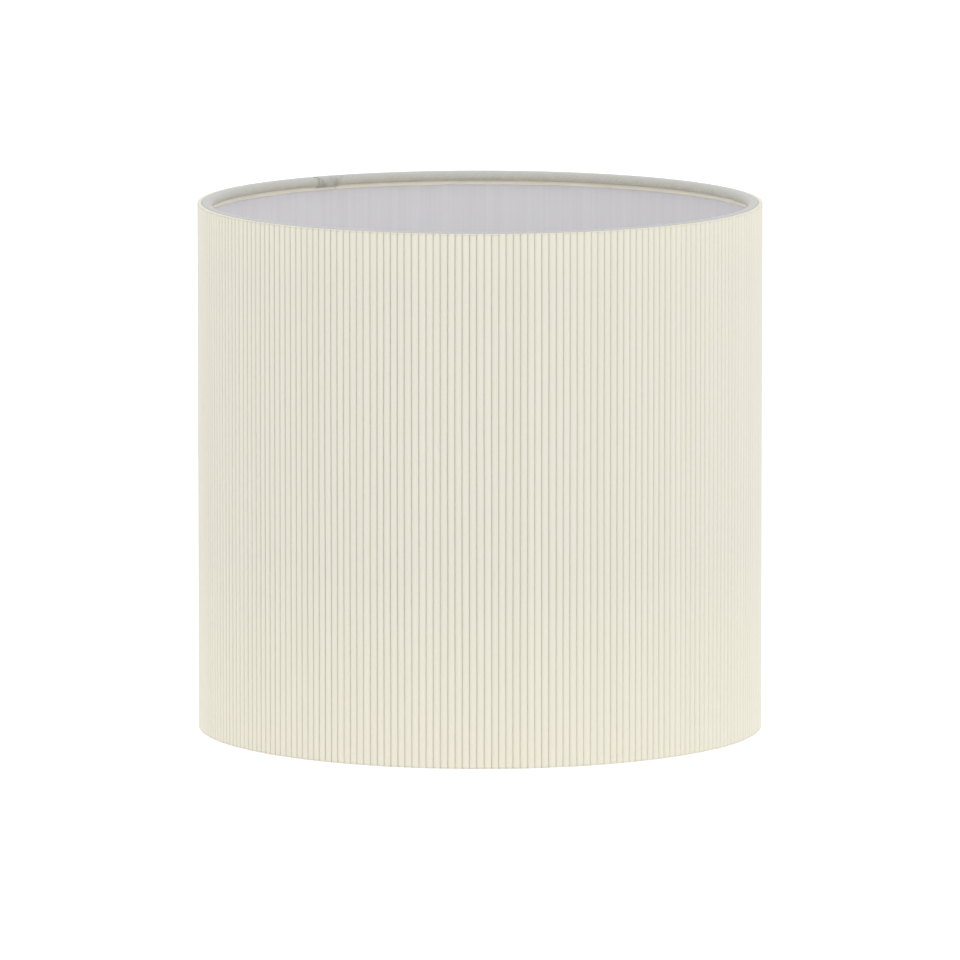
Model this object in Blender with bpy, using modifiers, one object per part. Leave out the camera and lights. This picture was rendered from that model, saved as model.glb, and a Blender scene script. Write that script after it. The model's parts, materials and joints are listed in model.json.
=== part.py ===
# Pleated drum lamp shade with a tilting fitter.
# Metres, +Z up. The origin is the centre of the bottom rim, on the plane the shade stands on.
# The fitter's two pivots lie along X.
from math import asin, atan2, cos, hypot, pi, radians, sin

import bmesh
import bpy
from mathutils import Matrix, Vector

# Driving sizes
DRUM_RADIUS = 0.080            # crests of the pleats
DRUM_HEIGHT = 0.150
TOUCH_GAP = 0.0003             # between pieces that rest on each other
RIM_SETBACK = 0.0002           # the pleats stop this far short of the taped rims

PLEAT_COUNT = 246
PLEAT_DEPTH = 0.0009
CREST_SHARE = 0.74             # part of a pleat's pitch taken by its flat crest
CLOTH_THICKNESS = 0.00025
SEAM_AZIMUTH = radians(-60)    # where the wall's two ends meet
SEAM_GAP = 0.0003

LINING_THICKNESS = 0.0004
STRIP_WIDTH = 0.010
STRIP_THICKNESS = 0.0003
STRIP_END_GAP = 0.0004

RING_WIRE_RADIUS = 0.0009
TAPE_THICKNESS = 0.00035
TAPE_TAIL = 0.0012             # how far the tape runs down the lining past the wire
TAPE_JOINT_AZIMUTH = radians(127)

ARM_WIRE_RADIUS = 0.0014
ARM_BEND_RADIUS = 0.006
PAD_RADIUS = 0.0042
PAD_THICKNESS = 0.0012
PAD_NECK_LENGTH = 0.0075       # from the pivot down to where the flattened wire is round again

PIVOT_HEIGHT = 0.034
RIVET_RADIUS = 0.0015
RIVET_HEAD_RADIUS = 0.0029
RIVET_TAIL_RADIUS = 0.0024
RIVET_HEAD_HEIGHT = 0.0012
RIVET_TAIL_HEIGHT = 0.0009
RUNNING_GAP = 0.0003           # rivet shank to its holes
WASHER_RADIUS = 0.0032
WASHER_THICKNESS = 0.0005

COLLAR_BORE_RADIUS = 0.021     # 42 mm lampholder hole
COLLAR_RADIUS = 0.0265
COLLAR_THICKNESS = 0.0012
COLLAR_DROP = 0.0090           # pivot down to the top face of the collar
COLLAR_LIP = 0.0016            # bore edge turned down below the flat
EAR_RADIUS = 0.0045

REDUCER_BORE_RADIUS = 0.0145   # 29 mm lampholder hole
REDUCER_FLANGE_RADIUS = 0.0234
REDUCER_FLANGE_THICKNESS = 0.0015
REDUCER_SPIGOT_DEPTH = 0.0030
REDUCER_SIDE_GAP = 0.0004
REDUCER_WALL = 0.0014
REDUCER_CHAMFER = 0.0004

WALL_STEPS = 72                # facets round the drum
SMALL_STEPS = 48               # facets round the collar and the reducer
PIVOT_STEPS = 20               # facets round the rivets and their holes

# Sizes that follow from them
COVER_INNER_RADIUS = DRUM_RADIUS - PLEAT_DEPTH - CLOTH_THICKNESS
LINING_RADIUS = COVER_INNER_RADIUS - TOUCH_GAP
LINING_INNER_RADIUS = LINING_RADIUS - LINING_THICKNESS
RING_RADIUS = LINING_INNER_RADIUS - TOUCH_GAP - RING_WIRE_RADIUS
WRAP_RADIUS = RING_WIRE_RADIUS + TOUCH_GAP + TAPE_THICKNESS
TAIL_RADIUS = LINING_INNER_RADIUS - TOUCH_GAP - TAPE_THICKNESS
TAIL_END = 2 * WRAP_RADIUS + TAPE_TAIL

COLLAR_TOP = PIVOT_HEIGHT - COLLAR_DROP
WASHER_X = COLLAR_RADIUS + TOUCH_GAP + WASHER_THICKNESS / 2
PAD_X = WASHER_X + WASHER_THICKNESS / 2 + TOUCH_GAP + PAD_THICKNESS / 2
RIVET_HEAD_X = PAD_X + PAD_THICKNESS / 2 + TOUCH_GAP
RIVET_TAIL_X = COLLAR_RADIUS - COLLAR_THICKNESS - TOUCH_GAP

SIDES = {"right": 1, "left": -1}


def clear_scene():
    for obj in list(bpy.data.objects):
        bpy.data.objects.remove(obj, do_unlink=True)


def make_collection(name):
    collection = bpy.data.collections.new(name)
    bpy.context.scene.collection.children.link(collection)
    return collection


def make_material(name, colour, roughness, metallic=0.0):
    material = bpy.data.materials.new(name)
    material.use_nodes = True
    shader = material.node_tree.nodes["Principled BSDF"]
    shader.inputs["Base Color"].default_value = (*colour, 1)
    shader.inputs["Roughness"].default_value = roughness
    shader.inputs["Metallic"].default_value = metallic
    return material


def place(name, data, material=None, collection=None):
    obj = bpy.data.objects.new(name, data)
    (collection or shade).objects.link(obj)
    if material:
        data.materials.append(material)
    return obj


def place_cutter(name, data):
    obj = place(name, data, collection=cutters)
    obj.hide_render = True
    obj.display_type = "WIRE"
    return obj


def soften(obj):
    # round pieces are smooth, with their real edges kept sharp
    obj.data.shade_smooth()
    obj.data.set_sharp_from_angle(angle=radians(35))


def boolean(obj, other, operation):
    modifier = obj.modifiers.new(other.name, "BOOLEAN")
    modifier.object = other
    modifier.operation = operation


def arc(centre, radius, start, end, count):
    angles = [start + (end - start) * i / count for i in range(count + 1)]
    return [(centre[0] + radius * cos(a), centre[1] + radius * sin(a)) for a in angles]


def ring_points(radius, count):
    return arc((0, 0), radius, 0, 2 * pi, count)[:-1]


def plate_curve(name, outlines, thickness):
    # flat outlines in XY, filled, with holes where an outline lies inside another
    curve = bpy.data.curves.new(name, "CURVE")
    curve.dimensions = "2D"
    curve.fill_mode = "BOTH"
    curve.extrude = thickness / 2
    for outline in outlines:
        spline = curve.splines.new("POLY")
        spline.points.add(len(outline) - 1)
        for point, (x, y) in zip(spline.points, outline):
            point.co = (x, y, 0, 1)
        spline.use_cyclic_u = True
    return curve


def wire_curve(name, points, radius):
    curve = bpy.data.curves.new(name, "CURVE")
    curve.dimensions = "3D"
    curve.bevel_depth = radius
    curve.bevel_resolution = 3
    curve.use_fill_caps = True
    spline = curve.splines.new("POLY")
    spline.points.add(len(points) - 1)
    for point, co in zip(spline.points, points):
        point.co = (*co, 1)
    return curve


def curve_to_mesh(obj):
    # the curve's caps and sides become one closed mesh, in the curve's place
    depsgraph = bpy.context.evaluated_depsgraph_get()
    mesh = bpy.data.meshes.new_from_object(obj.evaluated_get(depsgraph))
    bm = bmesh.new()
    bm.from_mesh(mesh)
    bmesh.ops.remove_doubles(bm, verts=bm.verts, dist=1e-6)
    bmesh.ops.recalc_face_normals(bm, faces=bm.faces)
    bm.to_mesh(mesh)
    bm.free()
    name = obj.name
    matrix = obj.matrix_world.copy()
    collection = obj.users_collection[0]
    bpy.data.objects.remove(obj, do_unlink=True)
    solid = bpy.data.objects.new(name, mesh)
    solid.matrix_world = matrix
    collection.objects.link(solid)
    return solid


def profile_mesh(name, profile, closed=False):
    # a profile in the XZ plane, given as (radius, height) points
    mesh = bpy.data.meshes.new(name)
    bm = bmesh.new()
    verts = [bm.verts.new((r, 0, z)) for r, z in profile]
    for first, second in zip(verts, verts[1:]):
        bm.edges.new((first, second))
    if closed:
        bm.edges.new((verts[-1], verts[0]))
    bm.to_mesh(mesh)
    bm.free()
    return mesh


def turn(obj, steps, angle=2 * pi):
    screw = obj.modifiers.new("Turn", "SCREW")
    screw.angle = angle
    screw.steps = steps
    screw.render_steps = steps
    screw.use_normal_calculate = False
    full = abs(angle - 2 * pi) < 1e-9
    screw.use_merge_vertices = full
    screw.merge_threshold = 1e-6
    return screw


def thicken(obj, thickness):
    solidify = obj.modifiers.new("Thickness", "SOLIDIFY")
    solidify.thickness = thickness
    solidify.offset = -1
    solidify.use_even_offset = True


def split_band(name, profile, thickness, radius, azimuth, material):
    # a turned band with a narrow split at one azimuth
    obj = place(name, profile_mesh(name, profile), material)
    split = SEAM_GAP / radius
    obj.rotation_euler.z = azimuth + split / 2
    turn(obj, WALL_STEPS, 2 * pi - split)
    thicken(obj, thickness)
    soften(obj)
    return obj


def build_pleated_cover(material):
    pitch = (2 * pi - SEAM_GAP / DRUM_RADIUS) / PLEAT_COUNT
    start = SEAM_AZIMUTH + SEAM_GAP / DRUM_RADIUS / 2
    groove_radius = DRUM_RADIUS - PLEAT_DEPTH
    outline = [(groove_radius, start)]
    for i in range(PLEAT_COUNT):
        middle = start + (i + 0.5) * pitch
        outline.append((DRUM_RADIUS, middle - pitch * CREST_SHARE / 2))
        outline.append((DRUM_RADIUS, middle + pitch * CREST_SHARE / 2))
        outline.append((groove_radius, start + (i + 1) * pitch))
    inner_count = PLEAT_COUNT // 2
    end = start + PLEAT_COUNT * pitch
    for i in range(inner_count + 1):
        outline.append((COVER_INNER_RADIUS, end + (start - end) * i / inner_count))
    points = [(r * cos(a), r * sin(a)) for r, a in outline]
    curve = plate_curve("pleated_cover", [points], DRUM_HEIGHT - 2 * RIM_SETBACK)
    cover = place("pleated_cover", curve, material)
    cover.location.z = DRUM_HEIGHT / 2


def build_lining(material):
    # the sheet stops under the tapes that fold over its edges
    end = TAPE_THICKNESS + TOUCH_GAP
    profile = [(LINING_RADIUS, DRUM_HEIGHT - end), (LINING_RADIUS, end)]
    split_band("lining", profile, LINING_THICKNESS, LINING_RADIUS, SEAM_AZIMUTH, material)


def build_seam_strip(material):
    # bridges the split in the lining from inside, between the two tapes
    radius = LINING_INNER_RADIUS - TOUCH_GAP
    end = TAIL_END + STRIP_END_GAP
    profile = [(radius, DRUM_HEIGHT - end), (radius, end)]
    mesh = profile_mesh("lining_seam_strip", profile)
    strip = place("lining_seam_strip", mesh, material)
    spread = STRIP_WIDTH / radius
    strip.rotation_euler.z = SEAM_AZIMUTH - spread / 2
    turn(strip, 4, spread)
    thicken(strip, STRIP_THICKNESS)
    soften(strip)


def build_rings(material):
    for name, height in (("top_ring", DRUM_HEIGHT - WRAP_RADIUS), ("bottom_ring", WRAP_RADIUS)):
        bpy.ops.mesh.primitive_torus_add(major_radius=RING_RADIUS, minor_radius=RING_WIRE_RADIUS,
                                         major_segments=WALL_STEPS, minor_segments=8)
        ring = bpy.context.object
        ring.name = name
        ring.data.name = name
        ring.location.z = height
        for collection in list(ring.users_collection):
            collection.objects.unlink(ring)
        shade.objects.link(ring)
        ring.data.materials.append(material)
        soften(ring)


def tape_profile():
    # the tape's showing face at the top rim: up the lining, round the wire, out over the edge
    centre = (RING_RADIUS, DRUM_HEIGHT - WRAP_RADIUS)
    tail = [(TAIL_RADIUS, DRUM_HEIGHT - TAIL_END), (TAIL_RADIUS, centre[1] - WRAP_RADIUS * 1.05)]
    return tail + arc(centre, WRAP_RADIUS, -pi / 2, -3 * pi / 2, 6) + [(LINING_RADIUS, DRUM_HEIGHT)]


def build_trims(material):
    profile = tape_profile()
    split_band("top_trim", profile, TAPE_THICKNESS, LINING_RADIUS, TAPE_JOINT_AZIMUTH, material)
    profile = [(r, DRUM_HEIGHT - z) for r, z in reversed(profile)]
    bottom = split_band("bottom_trim", profile, TAPE_THICKNESS, LINING_RADIUS,
                        TAPE_JOINT_AZIMUTH, material)
    for side, sign in SIDES.items():
        boolean(bottom, build_arm_notch(side, sign), "DIFFERENCE")


def arm_slope():
    # the arm's straight run is tangent to its bend and aims at the middle of the ring wire
    bend_centre = (PAD_X + ARM_BEND_RADIUS, arm_bend_height())
    run = RING_RADIUS - bend_centre[0]
    fall = bend_centre[1] - WRAP_RADIUS
    return atan2(fall, run) - asin(ARM_BEND_RADIUS / hypot(run, fall))


def arm_top_height():
    return PIVOT_HEIGHT - WASHER_RADIUS - TOUCH_GAP * 1.5


def arm_bend_height():
    return PIVOT_HEIGHT - PAD_NECK_LENGTH + ARM_WIRE_RADIUS


def on_arm_line(distance):
    # a point on the arm's straight run, measured from the middle of the ring wire
    slope = arm_slope()
    return (RING_RADIUS - distance * cos(slope), WRAP_RADIUS + distance * sin(slope))


def build_arm_notch(side, sign):
    # clears the arm where it passes through the bottom tape
    start = on_arm_line(RING_WIRE_RADIUS)
    end = on_arm_line(RING_WIRE_RADIUS + 3 * WRAP_RADIUS)
    first = Vector((sign * start[0], 0, start[1]))
    last = Vector((sign * end[0], 0, end[1]))
    bm = bmesh.new()
    radius = (ARM_WIRE_RADIUS + TOUCH_GAP) / cos(pi / 16)
    bmesh.ops.create_cone(bm, cap_ends=True, segments=16, radius1=radius, radius2=radius,
                          depth=(last - first).length)
    name = "arm_notch_" + side
    mesh = bpy.data.meshes.new(name)
    bm.to_mesh(mesh)
    bm.free()
    notch = place_cutter(name, mesh)
    notch.rotation_mode = "QUATERNION"
    notch.rotation_quaternion = (last - first).to_track_quat("Z", "Y")
    notch.location = (first + last) / 2
    return notch


def build_arms(material):
    slope = arm_slope()
    bend_centre = (PAD_X + ARM_BEND_RADIUS, arm_bend_height())
    bend = arc(bend_centre, ARM_BEND_RADIUS, pi, 3 * pi / 2 - slope, 8)
    path = [(PAD_X, arm_top_height())] + bend + [on_arm_line(RING_WIRE_RADIUS + TOUCH_GAP)]
    # flattened end: a round pad on the pivot that narrows to the wire
    lean = asin((PAD_RADIUS - ARM_WIRE_RADIUS) / PAD_NECK_LENGTH)
    pad = arc((0, 0), PAD_RADIUS, -lean, pi + lean, 18)
    pad += [(-ARM_WIRE_RADIUS, -PAD_NECK_LENGTH), (ARM_WIRE_RADIUS, -PAD_NECK_LENGTH)]
    hole = ring_points(RIVET_RADIUS + RUNNING_GAP, PIVOT_STEPS)
    for side, sign in SIDES.items():
        points = [(sign * x, 0, z) for x, z in path]
        name = "gimbal_arm_" + side
        arm = curve_to_mesh(place(name, wire_curve(name, points, ARM_WIRE_RADIUS)))
        arm.data.materials.append(material)
        eye = place_cutter("arm_eye_" + side, plate_curve("arm_eye_" + side, [pad, hole], PAD_THICKNESS))
        eye.matrix_world = stand_on_pivot(sign * PAD_X)
        boolean(arm, curve_to_cutter(eye), "UNION")
        soften(arm)


def stand_on_pivot(x):
    # turns a flat plate so that its face looks along X, its Y up, its middle on the pivot axis
    turned = Matrix(((0, 0, 1), (1, 0, 0), (0, 1, 0))).to_4x4()
    return Matrix.Translation((x, 0, PIVOT_HEIGHT)) @ turned


def curve_to_cutter(obj):
    bpy.context.view_layer.update()
    solid = curve_to_mesh(obj)
    solid.hide_render = True
    solid.display_type = "WIRE"
    return solid


def build_collar(material):
    low = COLLAR_TOP - COLLAR_THICKNESS
    lip_radius = COLLAR_BORE_RADIUS + COLLAR_THICKNESS
    profile = [(COLLAR_BORE_RADIUS, COLLAR_TOP), (COLLAR_RADIUS, COLLAR_TOP), (COLLAR_RADIUS, low),
               (lip_radius, low), (lip_radius, low - COLLAR_LIP), (COLLAR_BORE_RADIUS, low - COLLAR_LIP)]
    profile = [(r, z - PIVOT_HEIGHT) for r, z in profile]
    collar = place("gimbal_collar", profile_mesh("gimbal_collar", profile, closed=True), material)
    collar.location.z = PIVOT_HEIGHT
    turn(collar, SMALL_STEPS)
    # ears: straight up from the flat to a round end about the pivot
    foot = low + COLLAR_THICKNESS / 3 - PIVOT_HEIGHT
    ear = arc((0, 0), EAR_RADIUS, 0, pi, 14) + [(-EAR_RADIUS, foot), (EAR_RADIUS, foot)]
    hole = ring_points(RIVET_RADIUS + RUNNING_GAP, PIVOT_STEPS)
    for side, sign in SIDES.items():
        name = "collar_ear_" + side
        plate = place_cutter(name, plate_curve(name, [ear, hole], COLLAR_THICKNESS))
        plate.matrix_world = stand_on_pivot(sign * (COLLAR_RADIUS - COLLAR_THICKNESS / 2))
        boolean(collar, curve_to_cutter(plate), "UNION")
    soften(collar)


def build_rivets(material):
    # turned about the pivot: round head outside the arm, clinched tail inside the ear
    head = RIVET_HEAD_X - RIVET_TAIL_X
    tip = RIVET_TAIL_HEIGHT
    profile = [(0, head + RIVET_HEAD_HEIGHT), (RIVET_HEAD_RADIUS * 0.6, head + RIVET_HEAD_HEIGHT * 0.86),
               (RIVET_HEAD_RADIUS, head + RIVET_HEAD_HEIGHT * 0.3), (RIVET_HEAD_RADIUS, head),
               (RIVET_RADIUS, head), (RIVET_RADIUS, 0), (RIVET_TAIL_RADIUS, 0),
               (RIVET_TAIL_RADIUS, -tip * 0.5), (RIVET_TAIL_RADIUS * 0.7, -tip), (0, -tip)]
    for side, sign in SIDES.items():
        name = "pivot_rivet_" + side
        rivet = place(name, profile_mesh(name, profile), material)
        rivet.rotation_euler.y = sign * pi / 2
        rivet.location = (sign * RIVET_TAIL_X, 0, PIVOT_HEIGHT)
        turn(rivet, PIVOT_STEPS)
        soften(rivet)


def build_washers(material):
    half = WASHER_THICKNESS / 2
    inner = RIVET_RADIUS + RUNNING_GAP
    profile = [(inner, half), (WASHER_RADIUS, half), (WASHER_RADIUS, -half), (inner, -half)]
    for side, sign in SIDES.items():
        name = "pivot_washer_" + side
        washer = place(name, profile_mesh(name, profile, closed=True), material)
        washer.rotation_euler.y = pi / 2
        washer.location = (sign * WASHER_X, 0, PIVOT_HEIGHT)
        turn(washer, PIVOT_STEPS)
        soften(washer)


def build_reducer(material):
    # flange on top of the collar, hollow spigot in the collar's hole
    seat = TOUCH_GAP
    top = seat + REDUCER_FLANGE_THICKNESS
    foot = -REDUCER_SPIGOT_DEPTH
    spigot = COLLAR_BORE_RADIUS - REDUCER_SIDE_GAP
    tube = REDUCER_BORE_RADIUS + REDUCER_WALL
    chamfer = REDUCER_CHAMFER
    profile = [(REDUCER_BORE_RADIUS, top), (REDUCER_FLANGE_RADIUS - chamfer, top),
               (REDUCER_FLANGE_RADIUS, top - chamfer), (REDUCER_FLANGE_RADIUS, seat), (spigot, seat),
               (spigot, foot + chamfer), (spigot - chamfer, foot), (spigot - REDUCER_WALL, foot),
               (spigot - REDUCER_WALL, 0), (tube, 0), (tube, foot), (REDUCER_BORE_RADIUS, foot)]
    reducer = place("reducer_ring", profile_mesh("reducer_ring", profile, closed=True), material)
    reducer.location.z = COLLAR_TOP
    turn(reducer, SMALL_STEPS)
    soften(reducer)


clear_scene()
shade = make_collection("pleated_drum_lamp_shade")
cutters = make_collection("cutters")

cream_cloth = make_material("cream_cloth", (0.82, 0.80, 0.68), 0.9)
cream_tape = make_material("cream_tape", (0.78, 0.76, 0.66), 0.9)
white_sheet = make_material("white_sheet", (0.86, 0.85, 0.84), 0.6)
clear_tape = make_material("clear_tape", (0.80, 0.80, 0.78), 0.4)
ring_wire = make_material("ring_wire", (0.62, 0.62, 0.60), 0.35, 1.0)
painted_steel = make_material("painted_steel", (0.85, 0.85, 0.83), 0.4)
zinc_plate = make_material("zinc_plate", (0.66, 0.67, 0.69), 0.3, 1.0)
white_plastic = make_material("white_plastic", (0.88, 0.88, 0.86), 0.45)

build_pleated_cover(cream_cloth)
build_lining(white_sheet)
build_seam_strip(clear_tape)
build_rings(ring_wire)
build_trims(cream_tape)
build_arms(painted_steel)
build_collar(painted_steel)
build_rivets(zinc_plate)
build_washers(zinc_plate)
build_reducer(white_plastic)
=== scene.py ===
import json
import random
from math import asin, atan2, cos, hypot, pi, radians, sin

import bmesh
import bpy
from mathutils import Matrix, Vector, noise


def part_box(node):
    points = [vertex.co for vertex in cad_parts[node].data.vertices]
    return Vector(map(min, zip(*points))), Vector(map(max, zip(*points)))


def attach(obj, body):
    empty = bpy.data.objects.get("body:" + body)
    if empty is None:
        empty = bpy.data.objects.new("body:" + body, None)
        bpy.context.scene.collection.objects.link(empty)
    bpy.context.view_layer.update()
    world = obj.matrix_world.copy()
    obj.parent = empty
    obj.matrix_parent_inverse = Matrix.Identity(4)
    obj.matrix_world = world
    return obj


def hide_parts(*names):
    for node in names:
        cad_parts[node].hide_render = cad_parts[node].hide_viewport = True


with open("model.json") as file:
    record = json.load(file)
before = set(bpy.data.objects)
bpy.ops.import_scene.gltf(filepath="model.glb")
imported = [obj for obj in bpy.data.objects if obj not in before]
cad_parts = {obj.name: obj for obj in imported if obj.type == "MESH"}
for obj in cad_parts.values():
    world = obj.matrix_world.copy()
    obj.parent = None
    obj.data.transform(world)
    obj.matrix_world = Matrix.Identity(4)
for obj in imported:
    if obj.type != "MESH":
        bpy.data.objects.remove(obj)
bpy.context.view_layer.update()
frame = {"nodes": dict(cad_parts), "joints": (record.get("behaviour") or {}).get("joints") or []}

# ---- camera: first, so that every piece is looked at through it

cameraSettings = {
    "distance": 3.5,        # in front of the drum's axis
    "height": 0.548,
    "lookDown": 0.13562,    # radians
    "lens": 467.0,          # mm on a 36 mm sensor
}


def makeCamera():
    data = bpy.data.cameras.new("studioCamera")
    data.sensor_width = 36.0
    data.lens = cameraSettings["lens"]
    data.clip_end = 100
    camera = bpy.data.objects.new("studioCamera", data)
    bpy.context.scene.collection.objects.link(camera)
    camera.location = (0, -cameraSettings["distance"], cameraSettings["height"])
    camera.rotation_euler = (pi / 2 - cameraSettings["lookDown"], 0, 0)
    bpy.context.scene.camera = camera


makeCamera()
print("camera placed")


# ---- small helpers

def linear(hexText):
    # sRGB hex to the linear RGBA that the sockets take
    values = [int(hexText[i:i + 2], 16) / 255 for i in (1, 3, 5)]
    return [v / 12.92 if v <= 0.04045 else ((v + 0.055) / 1.055) ** 2.4 for v in values] + [1]


def addNode(tree, kind, settings={}, values={}, links={}):
    node = tree.nodes.new(kind)
    for name, value in settings.items():
        setattr(node, name, value)
    for name, value in values.items():
        node.inputs[name].default_value = value
    for name, output in links.items():
        tree.links.new(output, node.inputs[name])
    return node


def newMaterial(name, colour, roughness, **more):
    material = bpy.data.materials.new(name)
    material.use_nodes = True
    tree = material.node_tree
    shader = tree.nodes["Principled BSDF"]
    shader.inputs["Base Color"].default_value = linear(colour)
    shader.inputs["Roughness"].default_value = roughness
    for socket, value in more.items():
        shader.inputs[socket].default_value = value
    return material, tree, shader


def bumpFrom(tree, shader, height, depth):
    bump = addNode(tree, "ShaderNodeBump", {}, {"Distance": depth, "Strength": 1.0},
                   {"Height": height})
    tree.links.new(bump.outputs["Normal"], shader.inputs["Normal"])


def mixColour(tree, first, second, factor):
    # first and second are hex colours or colour outputs
    mix = addNode(tree, "ShaderNodeMix", {"data_type": "RGBA"})
    for socket, colour in ((mix.inputs[6], first), (mix.inputs[7], second)):
        if isinstance(colour, str):
            socket.default_value = linear(colour)
        else:
            tree.links.new(colour, socket)
    tree.links.new(factor, mix.inputs[0])
    return mix.outputs[2]


def mapped(tree, value, low, high, toLow, toHigh):
    node = addNode(tree, "ShaderNodeMapRange", {}, {"From Min": low, "From Max": high,
                                                    "To Min": toLow, "To Max": toHigh},
                   {"Value": value})
    return node.outputs["Result"]


def distanceFrom(tree, value, middle):
    gap = addNode(tree, "ShaderNodeMath", {"operation": "SUBTRACT"}, {1: middle}, {0: value})
    return addNode(tree, "ShaderNodeMath", {"operation": "ABSOLUTE"}, {},
                   {0: gap.outputs[0]}).outputs[0]


def waveScale(pitch):
    # a band texture at scale 1 repeats every 2 pi / 20
    return 2 * pi / 20 / pitch


def pieceFrom(bm, name, material, body, slot, *nodes):
    mesh = bpy.data.meshes.new(name)
    bm.to_mesh(mesh)
    bm.free()
    mesh.materials.append(material)
    mesh.shade_smooth()
    piece = bpy.data.objects.new(name, mesh)
    bpy.context.scene.collection.objects.link(piece)
    if nodes:
        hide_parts(*nodes)
    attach(piece, body)
    return piece


def thicken(piece, thickness):
    solidify = piece.modifiers.new("thickness", "SOLIDIFY")
    solidify.thickness = thickness
    solidify.offset = -1


def addProfile(bm, points, closed=False):
    verts = [bm.verts.new((r, 0, z)) for r, z in points]
    pairs = list(zip(verts, verts[1:]))
    if closed:
        pairs.append((verts[-1], verts[0]))
    return [bm.edges.new(pair) for pair in pairs]


def turn(bm, edges, steps):
    # turns profile edges once round Z
    geom = list({v for e in edges for v in e.verts}) + edges
    bmesh.ops.spin(bm, geom=geom, cent=(0, 0, 0), axis=(0, 0, 1), angle=2 * pi, steps=steps,
                   use_merge=True, use_normal_flip=False, use_duplicate=False)
    bmesh.ops.remove_doubles(bm, verts=bm.verts, dist=1e-6)


def roundCorners(points, radius, steps):
    # fillets each corner of a closed outline
    rounded = []
    for before, corner, after in zip(points[-1:] + points[:-1], points, points[1:] + points[:1]):
        corner, before, after = Vector(corner), Vector(before), Vector(after)
        cut = min(radius, (before - corner).length * 0.45, (after - corner).length * 0.45)
        first = corner + (before - corner).normalized() * cut
        last = corner + (after - corner).normalized() * cut
        for i in range(steps + 1):
            t = i / steps
            rounded.append(tuple((1 - t) ** 2 * first + 2 * t * (1 - t) * corner + t ** 2 * last))
    return rounded


def arc(centre, radius, start, end, count):
    angles = [start + (end - start) * i / count for i in range(count + 1)]
    return [(centre[0] + radius * cos(a), centre[1] + radius * sin(a)) for a in angles]


def turnOutward(bm, middleRadius=0.0, middleHeight=None):
    # an open sheet has no inside, so its faces are turned away from the axis or the rim's wire
    bm.normal_update()
    lean = 0
    for face in bm.faces:
        centre = face.calc_center_median()
        flat = Vector((centre.x, centre.y, 0))
        middle = flat.normalized() * middleRadius
        middle.z = centre.z if middleHeight is None else middleHeight
        lean += face.normal.dot(centre - middle)
    if lean < 0:
        bmesh.ops.reverse_faces(bm, faces=bm.faces)


def wave(*at):
    # smooth repeatable unevenness from -1 to 1
    return noise.noise(Vector(at)) * 1.6


# ---- materials, each from what the real one is

def makePleatedCloth():
    # poly-cotton lampshade cloth, plain woven and heat-set in pleats: dry and matte, warm cream,
    # with a faint bloom at grazing angles, and painted shade with a little dust darkening the
    # grooves
    threadPitch = 0.00036      # real threads are 0.25 mm apart; drawn a little coarser to show
    slubWidth = 1 / 1500
    slubLength = 0.012
    palestFrom = 0.0920        # height that it grows paler away from
    material, tree, shader = newMaterial("heatSetPolyCotton", "#DAD7CA", 0.86)
    shader.inputs["Sheen Weight"].default_value = 0.18
    shader.inputs["Sheen Roughness"].default_value = 0.45
    shader.inputs["Specular IOR Level"].default_value = 0.3
    uv = addNode(tree, "ShaderNodeUVMap", {"uv_map": "cloth"}).outputs["UV"]
    warp = addNode(tree, "ShaderNodeTexWave", {"bands_direction": "X"},
                   {"Scale": waveScale(threadPitch), "Distortion": 0.8, "Detail": 1.0},
                   {"Vector": uv})
    weft = addNode(tree, "ShaderNodeTexWave", {"bands_direction": "Y"},
                   {"Scale": waveScale(threadPitch * 1.1), "Distortion": 0.8, "Detail": 1.0},
                   {"Vector": uv})
    weave = addNode(tree, "ShaderNodeMath", {"operation": "MAXIMUM"}, {},
                    {0: warp.outputs["Fac"], 1: weft.outputs["Fac"]})
    bumpFrom(tree, shader, weave.outputs[0], 0.00004)
    stretched = addNode(tree, "ShaderNodeMapping", {},
                        {"Scale": (1 / slubWidth, 1 / slubLength, 1)}, {"Vector": uv})
    slub = addNode(tree, "ShaderNodeTexNoise", {}, {"Scale": 1.0, "Detail": 2.0},
                   {"Vector": stretched.outputs["Vector"]})
    tone = addNode(tree, "ShaderNodeAttribute", {"attribute_name": "tone"}).outputs["Fac"]
    dustAndShade = addNode(tree, "ShaderNodeAttribute", {"attribute_name": "dustAndShade"}).outputs["Fac"]
    colour = mixColour(tree, "#D1CFC2", "#D9D6CB", mapped(tree, tone, -1, 1, 0, 1))
    colour = mixColour(tree, colour, "#D2CEBB",
                       mapped(tree, slub.outputs["Fac"], 0.35, 0.75, 0, 0.25))
    # painted shade in the grooves, with a little dust: darker towards each groove's bottom
    colour = mixColour(tree, colour, "#C2BEA6", mapped(tree, dustAndShade, 0, 1, 0, 0.45))
    # painted light: a little paler and warmer towards both ends, and more so at the bottom, as from
    # light bounced up off the table
    height = addNode(tree, "ShaderNodeSeparateXYZ", {}, {}, {"Vector": uv}).outputs["Y"]
    fromMiddle = distanceFrom(tree, height, palestFrom)
    colour = mixColour(tree, colour, "#E8E2CE", mapped(tree, fromMiddle, 0.035, 0.092, 0, 0.45))
    tree.links.new(colour, shader.inputs["Base Color"])
    return material


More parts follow.
